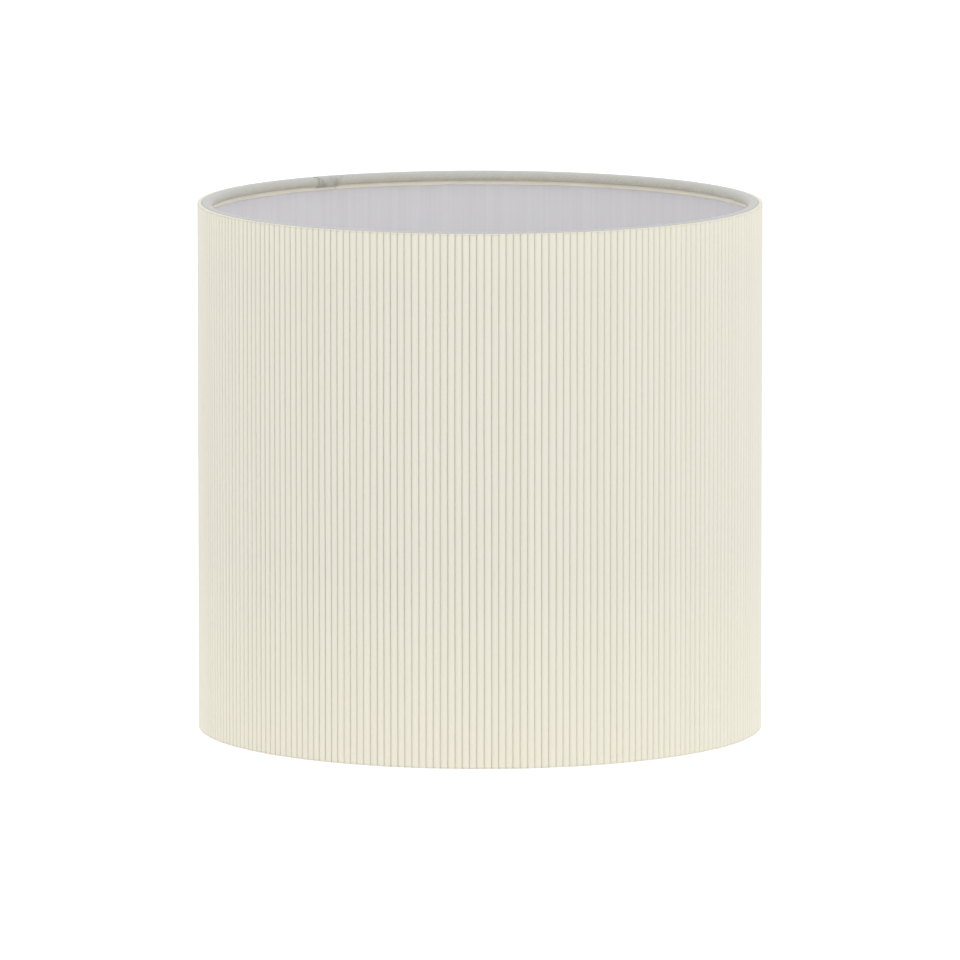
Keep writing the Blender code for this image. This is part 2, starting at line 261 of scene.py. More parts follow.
def makeTapeCloth():
    # cotton twill tape, woven narrow with a fine diagonal and glued down: greyer than the cloth,
    # matte, slightly stained where the two ends overlap
    twillPitch = 0.00055
    material, tree, shader = newMaterial("cottonTwillTape", "#BDBDB6", 0.88)
    shader.inputs["Sheen Weight"].default_value = 0.12
    shader.inputs["Specular IOR Level"].default_value = 0.3
    uv = addNode(tree, "ShaderNodeUVMap", {"uv_map": "cloth"}).outputs["UV"]
    twill = addNode(tree, "ShaderNodeTexWave", {"bands_direction": "DIAGONAL"},
                    {"Scale": waveScale(twillPitch) * 0.58, "Distortion": 1.2, "Detail": 1.0},
                    {"Vector": uv})
    bumpFrom(tree, shader, twill.outputs["Fac"], 0.00006)
    mottle = addNode(tree, "ShaderNodeTexNoise", {}, {"Scale": 1 / 0.0028, "Detail": 3.0},
                     {"Vector": uv})
    stain = addNode(tree, "ShaderNodeAttribute", {"attribute_name": "stain"}).outputs["Fac"]
    # painted light: paler and warmer at the inner edge, as from warm light bounced up from below,
    # and painted shade, a darker cool grey, where it turns over the wire
    across = addNode(tree, "ShaderNodeSeparateXYZ", {}, {}, {"Vector": uv}).outputs["Y"]
    colour = mixColour(tree, "#D5CFB9", "#B4B5B4", mapped(tree, across, 0.0006, 0.0043, 0, 1))
    colour = mixColour(tree, colour, "#B5B4AA",
                       mapped(tree, mottle.outputs["Fac"], 0.3, 0.7, 0, 0.4))
    colour = mixColour(tree, colour, "#96908A", mapped(tree, stain, 0, 1, 0, 0.7))
    tree.links.new(colour, shader.inputs["Base Color"])
    return material


def makeHemCloth():
    # the cover's own cloth turned in and glued flat: warm cream with a soft frayed edge
    threadPitch = 0.0004
    material, tree, shader = newMaterial("turnedHemCloth", "#E4DBC0", 0.88)
    uv = addNode(tree, "ShaderNodeUVMap", {"uv_map": "cloth"}).outputs["UV"]
    weft = addNode(tree, "ShaderNodeTexWave", {"bands_direction": "X"},
                   {"Scale": waveScale(threadPitch), "Distortion": 1.5, "Detail": 1.0},
                   {"Vector": uv})
    bumpFrom(tree, shader, weft.outputs["Fac"], 0.00004)
    glue = addNode(tree, "ShaderNodeTexNoise", {}, {"Scale": 1 / 0.009, "Detail": 2.0},
                   {"Vector": uv})
    # its own warm cream, painted paler than such cloth is as painted light, standing in for light
    # reaching it from below
    colour = mixColour(tree, "#FDF8EA", "#F9F2E2",
                       mapped(tree, glue.outputs["Fac"], 0.35, 0.7, 0, 1))
    tree.links.new(colour, shader.inputs["Base Color"])
    return material


def makeLiningSheet():
    # calendered styrene sheet, flame-retardant white: satin, cool white, with faint draw lines
    # down its height from rolling and handling
    middle = 0.0744            # half the sheet's height
    material, tree, shader = newMaterial("calenderedStyrene", "#EAE8E8", 0.7)
    shader.inputs["Specular IOR Level"].default_value = 0.25
    uv = addNode(tree, "ShaderNodeUVMap", {"uv_map": "cloth"}).outputs["UV"]
    stretched = addNode(tree, "ShaderNodeMapping", {}, {"Scale": (1 / 0.0011, 1 / 0.09, 1)},
                        {"Vector": uv})
    drawLines = addNode(tree, "ShaderNodeTexNoise", {}, {"Scale": 1.0, "Detail": 3.0},
                        {"Vector": stretched.outputs["Vector"]})
    colour = mixColour(tree, "#DCDBDD", "#D6D5D9",
                       mapped(tree, drawLines.outputs["Fac"], 0.3, 0.75, 0, 1))
    # painted light: paler and warmer over the last 17 mm at each end, towards the hems, making up
    # for the shade that the tapes cast there
    height = addNode(tree, "ShaderNodeSeparateXYZ", {}, {}, {"Vector": uv}).outputs["Y"]
    fromMiddle = distanceFrom(tree, height, middle)
    colour = mixColour(tree, colour, "#F8F4EE", mapped(tree, fromMiddle, 0.0570, 0.0705, 0, 1))
    tree.links.new(colour, shader.inputs["Base Color"])
    bumpFrom(tree, shader, drawLines.outputs["Fac"], 0.00005)
    return material


def makeClearFilm():
    # acrylic-backed packing film: thin and slightly glossy, a touch warmer than the sheet
    material, tree, shader = newMaterial("adhesiveFilm", "#DEDCD9", 0.28)
    coords = addNode(tree, "ShaderNodeTexCoord").outputs["Object"]
    bubbles = addNode(tree, "ShaderNodeTexNoise", {}, {"Scale": 1 / 0.002, "Detail": 2.0},
                      {"Vector": coords})
    bumpFrom(tree, shader, bubbles.outputs["Fac"], 0.00003)
    colour = mixColour(tree, "#DEDCD9", "#D9D6D1",
                       mapped(tree, bubbles.outputs["Fac"], 0.4, 0.7, 0, 1))
    tree.links.new(colour, shader.inputs["Base Color"])
    return material


def makePowderCoat():
    # white polyester powder coat on pressed steel: satin with a shallow orange peel
    material, tree, shader = newMaterial("powderCoatedSteel", "#E9E8E3", 0.38)
    coords = addNode(tree, "ShaderNodeTexCoord").outputs["Object"]
    peel = addNode(tree, "ShaderNodeTexNoise", {}, {"Scale": 1 / 0.0011, "Detail": 1.0},
                   {"Vector": coords})
    bumpFrom(tree, shader, peel.outputs["Fac"], 0.00005)
    film = addNode(tree, "ShaderNodeTexNoise", {}, {"Scale": 1 / 0.006, "Detail": 3.0},
                   {"Vector": coords})
    colour = mixColour(tree, "#EDECE8", "#E6E5DF",
                       mapped(tree, film.outputs["Fac"], 0.4, 0.75, 0, 1))
    tree.links.new(colour, shader.inputs["Base Color"])
    tree.links.new(mapped(tree, film.outputs["Fac"], 0.3, 0.7, 0.33, 0.46),
                   shader.inputs["Roughness"])
    return material


def makeZincPlate():
    # bright zinc on mild steel: silvery with faint blue-grey clouds from the bath
    material, tree, shader = newMaterial("zincPlatedSteel", "#BEC1C5", 0.3, Metallic=1.0)
    coords = addNode(tree, "ShaderNodeTexCoord").outputs["Object"]
    clouds = addNode(tree, "ShaderNodeTexNoise", {}, {"Scale": 1 / 0.0016, "Detail": 4.0},
                     {"Vector": coords})
    colour = mixColour(tree, "#C7C9CC", "#A3A8B2",
                       mapped(tree, clouds.outputs["Fac"], 0.35, 0.7, 0, 1))
    tree.links.new(colour, shader.inputs["Base Color"])
    tree.links.new(mapped(tree, clouds.outputs["Fac"], 0.3, 0.7, 0.22, 0.42),
                   shader.inputs["Roughness"])
    return material


def makeDrawnWire():
    # mild steel wire drawn through a die: dull silver with fine scratches
    material, tree, shader = newMaterial("drawnSteelWire", "#A8A9A8", 0.36, Metallic=1.0)
    coords = addNode(tree, "ShaderNodeTexCoord").outputs["Object"]
    scratches = addNode(tree, "ShaderNodeTexNoise", {}, {"Scale": 1 / 0.0008, "Detail": 5.0},
                        {"Vector": coords})
    colour = mixColour(tree, "#B3B4B3", "#878786",
                       mapped(tree, scratches.outputs["Fac"], 0.35, 0.7, 0, 1))
    tree.links.new(colour, shader.inputs["Base Color"])
    bumpFrom(tree, shader, scratches.outputs["Fac"], 0.00002)
    return material


def makeMouldedPlastic():
    # injection-moulded polypropylene: milky white, soft sheen, fine spark-eroded grain
    material, tree, shader = newMaterial("mouldedPolypropylene", "#ECEBE5", 0.46)
    shader.inputs["IOR"].default_value = 1.49
    coords = addNode(tree, "ShaderNodeTexCoord").outputs["Object"]
    grain = addNode(tree, "ShaderNodeTexNoise", {}, {"Scale": 1 / 0.0005, "Detail": 2.0},
                    {"Vector": coords})
    bumpFrom(tree, shader, grain.outputs["Fac"], 0.00002)
    flow = addNode(tree, "ShaderNodeTexNoise", {}, {"Scale": 1 / 0.01, "Detail": 2.0},
                   {"Vector": coords})
    colour = mixColour(tree, "#EFEEE9", "#E9E8E2",
                       mapped(tree, flow.outputs["Fac"], 0.35, 0.7, 0, 1))
    tree.links.new(colour, shader.inputs["Base Color"])
    return material


pleatedCloth = makePleatedCloth()
tapeCloth = makeTapeCloth()
hemCloth = makeHemCloth()
liningSheet = makeLiningSheet()
clearFilm = makeClearFilm()
powderCoat = makePowderCoat()
zincPlate = makeZincPlate()
drawnWire = makeDrawnWire()
mouldedPlastic = makeMouldedPlastic()
print("materials made")


# ---- sizes that the pieces share, all from the frame

coverLow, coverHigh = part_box("pleated_cover")
liningLow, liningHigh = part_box("lining")
ringLow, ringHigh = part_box("top_ring")
bottomRingLow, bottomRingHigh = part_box("bottom_ring")
drumRadius = coverHigh.x
liningRadius = liningHigh.x
wireRadius = (ringHigh.z - ringLow.z) / 2
ringRadius = ringHigh.x - wireRadius
topRingHeight = (ringHigh.z + ringLow.z) / 2
bottomRingHeight = (bottomRingHigh.z + bottomRingLow.z) / 2
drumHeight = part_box("top_trim")[1].z


# ---- pleated cover: one long strip of cloth, folded into narrow pleats and wrapped round

coverSettings = {
    "pleats": 246,
    "depth": 0.00060,          # groove to crest
    "innerGap": 0.0003,        # from the lining to the backs of the folds
    "clothWidth": 0.628,       # the strip's length once its pleats are pulled flat
    "strips": 10,              # faces across one pleat
    "rows": 16,                # faces up its height
    "endRow": 0.003,           # share of the height in the narrow rows at the two cut edges
    "softFlank": 1.95,         # each pleat rises gently on one side
    "crispFlank": 3.3,         # and drops sharply on the other
    "roundness": 0.52,         # lower makes squarer crests over narrower grooves
    "lean": 0.00005,           # how far a crest leans over its groove
    "widthSpread": 0.015,      # pleats differ this much in width
    "depthSpread": 0.07,
    "toneSpread": 0.3,
    "wander": 0.00007,         # sideways wander of a fold along its height
    "endSpread": 0.00009,      # uneven cut at the two edges
    "joinAzimuth": radians(-60),   # the cut ends meet down in a groove
    "seed": 11,
}


def pleatHeight(across):
    # 0 in the grooves at -1 and 1, 1 over the crest
    flank = coverSettings["softFlank" if across < 0 else "crispFlank"]
    return max(0.0, 1 - abs(across) ** flank) ** coverSettings["roundness"]


def rowShare(row, rows, endRow):
    # even rows, with a narrow one at each end so that the cut edge shades crisply
    if row in (0, rows):
        return row / rows
    return endRow + (1 - 2 * endRow) * (row - 1) / (rows - 2)


def makeCover():
    s = coverSettings
    rng = random.Random(s["seed"])
    widths = [1 + rng.gauss(0, s["widthSpread"]) for _ in range(s["pleats"])]
    scale = 2 * pi / sum(widths)
    edges = [s["joinAzimuth"]]
    for width in widths:
        edges.append(edges[-1] + width * scale)
    depths = [s["depth"] * (1 - s["depthSpread"] * rng.random()) for _ in widths]
    leans = [s["lean"] * (1 + rng.gauss(0, 0.9)) for _ in widths]
    tones = [s["toneSpread"] * rng.uniform(-1, 1) for _ in widths]
    topCuts = [s["endSpread"] * rng.random() for _ in widths]
    bottomCuts = [s["endSpread"] * rng.random() for _ in widths]

    columns = s["pleats"] * s["strips"]
    height = coverHigh.z - coverLow.z
    bm = bmesh.new()
    bmesh.ops.create_grid(bm, x_segments=columns, y_segments=s["rows"], size=0.5)
    tone = bm.verts.layers.float.new("tone")
    dustAndShade = bm.verts.layers.float.new("dustAndShade")
    uv = bm.loops.layers.uv.new("cloth")
    for face in bm.faces:
        for loop in face.loops:
            co = loop.vert.co
            loop[uv].uv = ((co.x + 0.5) * s["clothWidth"], (co.y + 0.5) * height)
    for vert in bm.verts:
        column = round((vert.co.x + 0.5) * columns)
        up = rowShare(round((vert.co.y + 0.5) * s["rows"]), s["rows"], s["endRow"])
        pleat = min(column // s["strips"], s["pleats"] - 1)
        across = -cos(pi * (column - pleat * s["strips"]) / s["strips"])
        sides = []
        for side in (pleat, pleat + 1):
            inside = 0 < side < s["pleats"]
            drift = s["wander"] * wave(side * 0.31, up * 2.3, 4.7) if inside else 0
            drift += s["wander"] * 0.5 * wave(side * 0.83, up * 7.0, 1.3) if inside else 0
            sides.append(edges[side] + drift / drumRadius)
        rise = pleatHeight(across)
        angle = sides[0] + (sides[1] - sides[0]) * (across + 1) / 2
        angle += leans[pleat] * rise / drumRadius
        puff = 1 - 0.05 * (1 + wave(pleat * 0.5, up * 4.0, 9.1))
        radius = drumRadius - s["depth"] + depths[pleat] * rise * puff
        z = coverLow.z + height * up
        if up > 0.999:
            z -= topCuts[pleat] * rise
        if up < 0.001:
            z += bottomCuts[pleat] * rise
        vert.co = (radius * cos(angle), radius * sin(angle), z)
        vert[tone] = tones[pleat]
        # painted shade and dust: strongest at the groove bottoms, none on the crests
        vert[dustAndShade] = (1 - rise) ** 2
    turnOutward(bm)
    print("cover unfolds to", round(sum(face.calc_area() for face in bm.faces) / height, 4), "m")
    bmesh.ops.remove_doubles(bm, verts=bm.verts, dist=1e-7)
    # cut ends and plain backs, where the folds are pressed together
    backRadius = liningRadius + s["innerGap"]
    backEdges = []
    outer = set(bm.faces)
    for atTop in (True, False):
        ends = [e for e in bm.edges if e.is_boundary and e not in backEdges
                and (e.verts[0].co.z > drumHeight / 2) == atTop]
        for edge in ends:
            edge.smooth = False
        grown = bmesh.ops.extrude_edge_only(bm, edges=ends)["geom"]
        for vert in (g for g in grown if isinstance(g, bmesh.types.BMVert)):
            angle = atan2(vert.co.y, vert.co.x)
            vert.co = (backRadius * cos(angle), backRadius * sin(angle),
                       coverHigh.z if atTop else coverLow.z)
        backEdges += [g for g in grown if isinstance(g, bmesh.types.BMEdge) and g.is_boundary]
    for edge in backEdges:
        edge.smooth = False
    bmesh.ops.bridge_loops(bm, edges=backEdges)
    for face in bm.faces:
        if face not in outer:
            for loop in face.loops:
                co = loop.vert.co
                across = drumRadius - hypot(co.x, co.y)
                loop[uv].uv = (atan2(co.y, co.x) * drumRadius, co.z + across)
    bmesh.ops.recalc_face_normals(bm, faces=bm.faces)
    return pieceFrom(bm, "pleatedCover", pleatedCloth, "shade", "cream_cloth", "pleated_cover")


cover = makeCover()
print("cover pleated")


# ---- lining sheet, rolled to meet edge to edge, with a film over the join

liningSettings = {
    "thickness": 0.0004,
    "steps": 480,
    "rows": 10,
    "ripple": 0.00004,         # the pleats behind show through as the faintest ripple
    "endRow": 0.003,
    "splitAzimuth": radians(-60),
    "splitWidth": 0.00005,     # gap between the two ends
}


def makeLining():
    s = liningSettings
    split = s["splitWidth"] / liningRadius
    height = liningHigh.z - liningLow.z
    bm = bmesh.new()
    bmesh.ops.create_grid(bm, x_segments=s["steps"], y_segments=s["rows"], size=0.5)
    uv = bm.loops.layers.uv.new("cloth")
    for face in bm.faces:
        for loop in face.loops:
            co = loop.vert.co
            loop[uv].uv = ((co.x + 0.5) * 2 * pi * liningRadius, (co.y + 0.5) * height)
    for vert in bm.verts:
        angle = s["splitAzimuth"] + split / 2 + (vert.co.x + 0.5) * (2 * pi - split)
        up = rowShare(round((vert.co.y + 0.5) * s["rows"]), s["rows"], s["endRow"])
        radius = liningRadius - s["ripple"] * (1 + wave(cos(angle) * 14, sin(angle) * 14, up * 0.6))
        vert.co = (radius * cos(angle), radius * sin(angle), liningLow.z + height * up)
    turnOutward(bm)
    piece = pieceFrom(bm, "liningSheet", liningSheet, "shade", "white_sheet", "lining")
    thicken(piece, s["thickness"])


filmSettings = {"width": 0.010, "thickness": 0.0001, "gap": 0.0001, "lift": 0.00003}


def makeJoinFilm():
    # thin film pressed on the inside of the sheet, over the join
    s = filmSettings
    radius = liningRadius - liningSettings["thickness"] - s["gap"]
    low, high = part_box("lining_seam_strip")
    bm = bmesh.new()
    bmesh.ops.create_grid(bm, x_segments=12, y_segments=24, size=0.5)
    for vert in bm.verts:
        angle = liningSettings["splitAzimuth"] + vert.co.x * s["width"] / radius
        z = low.z + (high.z - low.z) * (vert.co.y + 0.5)
        lift = s["lift"] * wave(vert.co.x * 3, vert.co.y * 20, 2.0)
        vert.co = ((radius + lift) * cos(angle), (radius + lift) * sin(angle), z)
    turnOutward(bm)
    piece = pieceFrom(bm, "joinFilm", clearFilm, "shade", "clear_tape", "lining_seam_strip")
    thicken(piece, s["thickness"])


makeLining()
makeJoinFilm()
print("lining rolled")


# ---- rim tapes: folded over the wall's edge and round the wire, ends overlapped

hemSettings = {
    "thickness": 0.0002,
    "glueGap": 0.0001,         # between the lining and the hem
    "below": 0.0013,           # shows this far past the wire's tape
    "above": 0.0011,           # and runs this far up behind it
    "endGap": 0.0004,          # angle left open between its ends
    "steps": 480,
    "rows": 4,
}

tapeSettings = {
    "thickness": 0.00022,
    "wrapRadius": 0.00138,     # showing face, about the wire
    "wireSlip": 0.00012,       # the wire sits this much inward of the wrap's middle
    "steps": 720,
    "across": 28,
    "startGap": 0.0004,        # from the hem to the tape's inner edge
    "legGap": 0.00003,         # from the lining to the leg behind the cover
    "legDepth": 0.00342,       # rim's top to the end of that leg
    "tucked": 0.48,            # share of its width past which it lies pressed flat
    "pressed": 0.08,           # share over which it goes from loose to flat
    "overlap": 0.0070,         # how far the end laps over the start
    "layerGap": 0.00005,       # between the two layers of the lap
    "trimmedLeg": 0.0006,      # length of the lower layer's leg in the lap
    "ramp": 0.0011,            # over which the lap rises
    "pucker": 0.00006,
    "jointPucker": 0.00009,    # more of it by the joint
    "jointReach": 0.009,       # how far the pucker and the stain go from the joint
    "jointAzimuth": radians(122.5),
    "flatWidth": 0.010,        # of the tape before it is folded: the length of its path
}


def tapePath():
    # the showing face across the tape at the top rim: off the lining, round the wire, over the
    # wall's edge and down between the lining and the cover
    radius = tapeSettings["wrapRadius"]
    centre = (ringRadius + tapeSettings["wireSlip"], drumHeight - radius)
    inner = liningRadius - liningSettings["thickness"] - hemSettings["thickness"]
    inner -= tapeSettings["startGap"]
    outer = liningRadius + tapeSettings["thickness"] + tapeSettings["legGap"]
    start = [(inner, drumHeight - 2 * radius - 0.0001)]
    roundWire = arc(centre, radius, radians(-72), radians(-270), 30)
    over = [(outer - 0.0002, drumHeight), (outer - 0.00006, drumHeight - 0.00006),
            (outer, drumHeight - 0.0002), (outer, drumHeight - tapeSettings["legDepth"])]
    return start + roundWire + over


def along(path, share):
    # the point a share of the way along a path, and the direction across it there
    lengths = [hypot(b[0] - a[0], b[1] - a[1]) for a, b in zip(path, path[1:])]
    left = share * sum(lengths)
    for (a, b), length in zip(zip(path, path[1:]), lengths):
        if left <= length or b == path[-1]:
            t = min(1.0, left / length)
            out = (-(b[1] - a[1]) / length, (b[0] - a[0]) / length)
            return (a[0] + (b[0] - a[0]) * t, a[1] + (b[1] - a[1]) * t), out
        left -= length


def smoothStep(value):
    value = min(1.0, max(0.0, value))
    return value * value * (3 - 2 * value)


def makeTape(name, node, atTop):
    s = tapeSettings
    path = tapePath()
    total = 2 * pi + s["overlap"] / ringRadius
    places = [along(path, i / s["across"]) for i in range(s["across"] + 1)]
    bm = bmesh.new()
    bmesh.ops.create_grid(bm, x_segments=s["steps"], y_segments=s["across"], size=0.5)
    stain = bm.verts.layers.float.new("stain")
    uv = bm.loops.layers.uv.new("cloth")
    for face in bm.faces:
        for loop in face.loops:
            co = loop.vert.co
            loop[uv].uv = ((co.x + 0.5) * total * ringRadius, (co.y + 0.5) * s["flatWidth"])
    seed = 3.0 if atTop else 17.0
    for vert in bm.verts:
        turned = (vert.co.x + 0.5) * total
        (r, z), (outR, outZ) = places[round((vert.co.y + 0.5) * s["across"])]
        share = vert.co.y + 0.5
        fromEnd = (total - turned) * ringRadius
        lap = smoothStep((s["overlap"] + s["ramp"] - fromEnd) / s["ramp"])
        nearJoint = smoothStep(1 - abs(fromEnd - s["overlap"] * 0.5) / s["jointReach"])
        nearJoint = max(nearJoint, smoothStep(1 - turned * ringRadius / s["jointReach"]))
        angle = s["jointAzimuth"] + turned
        around = (cos(angle) * 26, sin(angle) * 26)
        rough = s["pucker"] * wave(*around, share * 2 + seed)
        rough += s["pucker"] * 0.6 * wave(around[0] * 3.1, around[1] * 3.1, share * 5 + seed)
        torn = wave(around[0] * 6, around[1] * 6, share * 4 + seed)
        rough += nearJoint * s["jointPucker"] * torn
        loose = smoothStep((s["tucked"] - share) / s["pressed"])
        under = smoothStep((s["overlap"] + s["ramp"] - turned * ringRadius) / s["ramp"])
        layer = s["thickness"] + s["layerGap"]
        push = loose * (lap * layer + rough * sin(pi * share) ** 0.5) - (1 - loose) * under * layer
        r += outR * push
        z = min(drumHeight, z + outZ * push)     # a lap can't stand proud of the flat it rests on
        if share > s["tucked"]:                  # the lower layer's leg is trimmed off in the lap
            z = max(z, drumHeight - s["legDepth"] + under * (s["legDepth"] - s["trimmedLeg"]))
        if not atTop:
            z = drumHeight - z
        vert.co = (r * cos(angle), r * sin(angle), z)
        patch = wave(around[0] * 2.2, around[1] * 2.2, share * 3 + seed)
        vert[stain] = nearJoint * smoothStep(0.5 + patch)
    turnOutward(bm, ringRadius, topRingHeight if atTop else bottomRingHeight)
    piece = pieceFrom(bm, name, tapeCloth, "shade", "cream_tape", node)
    thicken(piece, s["thickness"])
    return piece


def makeHem(name, atTop):
    # a turned-in edge of cream cloth, glued flat on the lining under the tape
    s = hemSettings
    radius = liningRadius - liningSettings["thickness"] - s["glueGap"]
    underTape = drumHeight - 2 * tapeSettings["wrapRadius"]
    bm = bmesh.new()
    bmesh.ops.create_grid(bm, x_segments=s["steps"], y_segments=s["rows"], size=0.5)
    uv = bm.loops.layers.uv.new("cloth")
    height = s["below"] + s["above"]
    for face in bm.faces:
        for loop in face.loops:
            co = loop.vert.co
            loop[uv].uv = ((co.x + 0.5) * 2 * pi * radius, (co.y + 0.5) * height)
    for vert in bm.verts:
        angle = tapeSettings["jointAzimuth"] + (vert.co.x + 0.5) * (2 * pi - s["endGap"])
        fray = 0.00009 * wave(cos(angle) * 12, sin(angle) * 12, 5.0)
        fray += 0.00004 * wave(cos(angle) * 160, sin(angle) * 160, 2.0)
        low = underTape - s["below"] + fray
        z = low + (underTape + s["above"] - low) * (vert.co.y + 0.5)
        if not atTop:
            z = drumHeight - z
        vert.co = (radius * cos(angle), radius * sin(angle), z)
    turnOutward(bm)
    piece = pieceFrom(bm, name, hemCloth, "shade", "cream_cloth")
    thicken(piece, s["thickness"])
    return piece


topTape = makeTape("topTape", "top_trim", True)
bottomTape = makeTape("bottomTape", "bottom_trim", False)
topHem = makeHem("topHem", True)
bottomHem = makeHem("bottomHem", False)
for ringName in ("top_ring", "bottom_ring"):
    frame["nodes"][ringName].data.materials.clear()
    frame["nodes"][ringName].data.materials.append(drawnWire)
    frame["nodes"][ringName].data.shade_smooth()
print("rims taped")


# ---- fitter: two wire arms, a pressed collar that tilts on rivets, a loose reducer ring

pivot = Vector(frame["joints"][0]["pos_m"])
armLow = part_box("gimbal_arm_right")[0]
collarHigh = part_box("gimbal_collar")[1]
reducerLow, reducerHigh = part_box("reducer_ring")
rivetLow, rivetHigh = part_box("pivot_rivet_right")
washerLow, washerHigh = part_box("pivot_washer_right")
sideSigns = {"right": 1, "left": -1}

armSettings = {
    "padRadius": 0.0042,
    "padThickness": 0.0012,
    "neckLength": 0.0075,
    "bendRadius": 0.006,
    "holeRadius": 0.0018,
    "sides": 20,
    "edgeBevel": 0.00018,
    "bends": 10,
    "squeezes": [(0.42, 1.25), (0.52, 1.18), (0.74, 1.08), (0.93, 1.01), (1.0, 1.0)],
}
armWire = 0.0014
padMiddle = armLow.x + armWire


def mirrored(bm, sign):
    # the left piece is the right one turned half way round
    if sign < 0:
        bmesh.ops.rotate(bm, verts=bm.verts, matrix=Matrix.Rotation(pi, 3, "Z"))


def plateWithHole(bm, outline, holeRadius, holeSteps, thickness):
    # a flat plate in the YZ plane with a round hole at its origin, thickness along X
    outer = [bm.verts.new((0, y, z)) for y, z in outline]
    hole = [bm.verts.new((0, y, z)) for y, z in arc((0, 0), holeRadius, 0, 2 * pi, holeSteps)[:-1]]
    edges = []
    for ring in (outer, hole):
        edges += [bm.edges.new(pair) for pair in zip(ring, ring[1:] + ring[:1])]
    filled = bmesh.ops.triangle_fill(bm, use_beauty=True, edges=edges, normal=(1, 0, 0))
    faces = [g for g in filled["geom"] if isinstance(g, bmesh.types.BMFace)]
    grown = bmesh.ops.extrude_face_region(bm, geom=faces)
    moved = [g for g in grown["geom"] if isinstance(g, bmesh.types.BMVert)]
    bmesh.ops.translate(bm, verts=outer + hole, vec=(-thickness / 2, 0, 0))
    bmesh.ops.translate(bm, verts=moved, vec=(thickness / 2, 0, 0))


def makeArm(side, sign):
    s = armSettings
    bm = bmesh.new()
    # the flattened end
    lean = asin((s["padRadius"] - armWire) / s["neckLength"])
    outline = arc((0, 0), s["padRadius"], -lean, pi + lean, 26)
    outline += [(-armWire * 0.95, -s["neckLength"]), (armWire * 0.95, -s["neckLength"])]
    plateWithHole(bm, outline, s["holeRadius"], 24, s["padThickness"])
    bmesh.ops.recalc_face_normals(bm, faces=bm.faces)
    rims = [e for e in bm.edges if e.calc_length() > 0 and len(e.link_faces) == 2
            and e.calc_face_angle(0) > 1.2]
    bmesh.ops.bevel(bm, geom=rims, offset=s["edgeBevel"], offset_type="OFFSET", affect="EDGES",
                    segments=2, profile=0.5, material=-1, clamp_overlap=True)
    bmesh.ops.translate(bm, verts=bm.verts, vec=(padMiddle, 0, pivot.z))
    # the round wire: down from the pad, round the bend, out to the ring
    top = pivot.z - 0.0048
    bendTop = pivot.z - s["neckLength"] + armWire
    bendCentre = Vector((padMiddle + s["bendRadius"], 0, bendTop))
    run = ringRadius - bendCentre.x
    fall = bendCentre.z - bottomRingHeight
    slope = atan2(fall, run) - asin(s["bendRadius"] / hypot(run, fall))
    made = bmesh.ops.create_circle(bm, segments=s["sides"], radius=armWire, cap_ends=True,
                                   matrix=Matrix.Translation((padMiddle, 0, top)))
    loop = made["verts"]
    # squeezed flat where it becomes the pad
    bmesh.ops.scale(bm, verts=loop, vec=(*s["squeezes"][0], 1),
                    space=Matrix.Translation((-padMiddle, 0, -top)))
    face = firstFace = next(f for f in loop[0].link_faces if len(f.verts) == s["sides"])

    def pull(face, move, matrix=None, centre=None, grow=(1, 1, 1)):
        out = bmesh.ops.extrude_face_region(bm, geom=[face])["geom"]
        if face is not firstFace:
            bmesh.ops.delete(bm, geom=[face], context="FACES_ONLY")
        verts = [g for g in out if isinstance(g, bmesh.types.BMVert)]
        bmesh.ops.translate(bm, verts=verts, vec=move)
        if matrix:
            bmesh.ops.rotate(bm, verts=verts, cent=centre, matrix=matrix)
        middle = sum((v.co for v in verts), Vector()) / len(verts)
        bmesh.ops.scale(bm, verts=verts, vec=grow, space=Matrix.Translation(-middle))
        return next(g for g in out if isinstance(g, bmesh.types.BMFace))

    stages = list(zip(s["squeezes"], s["squeezes"][1:]))
    for before, after in stages:
        grow = (after[0] / before[0], after[1] / before[1], 1)
        face = pull(face, (0, 0, (bendTop - top) / len(stages)), grow=grow)
    turned = -(pi / 2 - slope) / s["bends"]
    for _ in range(s["bends"]):
        face = pull(face, (0, 0, 0), Matrix.Rotation(turned, 3, "Y"), bendCentre)
    reach = wireRadius * 1.1
    tip = Vector((ringRadius - cos(slope) * reach, 0, bottomRingHeight + sin(slope) * reach))
    middle = face.calc_center_median()
    for _ in range(6):
        face = pull(face, (tip - middle) / 6)
    mirrored(bm, sign)
    bmesh.ops.recalc_face_normals(bm, faces=bm.faces)
    piece = pieceFrom(bm, "armWire_" + side, powderCoat, "shade", "painted_steel",
                      "gimbal_arm_" + side)
    piece.data.set_sharp_from_angle(angle=radians(40))
    return tip


weldSettings = {"radius": 0.00165, "uneven": 0.10, "stretch": 1.25, "shift": (-0.0004, 0, 0.0002)}


def makeWeld(side, sign, tip):
    # a small fused bead where the arm meets the ring
    s = weldSettings
    bm = bmesh.new()
    bmesh.ops.create_icosphere(bm, subdivisions=4, radius=s["radius"])
    for vert in bm.verts:
        vert.co *= 1 + s["uneven"] * wave(vert.co.x * 900, vert.co.y * 900, vert.co.z * 900)
        vert.co.y *= s["stretch"]
    bmesh.ops.translate(bm, verts=bm.verts, vec=tip + Vector(s["shift"]))
    mirrored(bm, sign)
    pieceFrom(bm, "weldBead_" + side, powderCoat, "shade", "painted_steel")


clearance = 0.0001         # a rivet's head and tail stand this far off what they hold
rivetSettings = {"shank": 0.0015, "headEdge": 0.0002, "steps": 40}
washerSettings = {"bore": 0.0018, "halfThickness": 0.00012, "wave": 0.00012, "steps": 48}


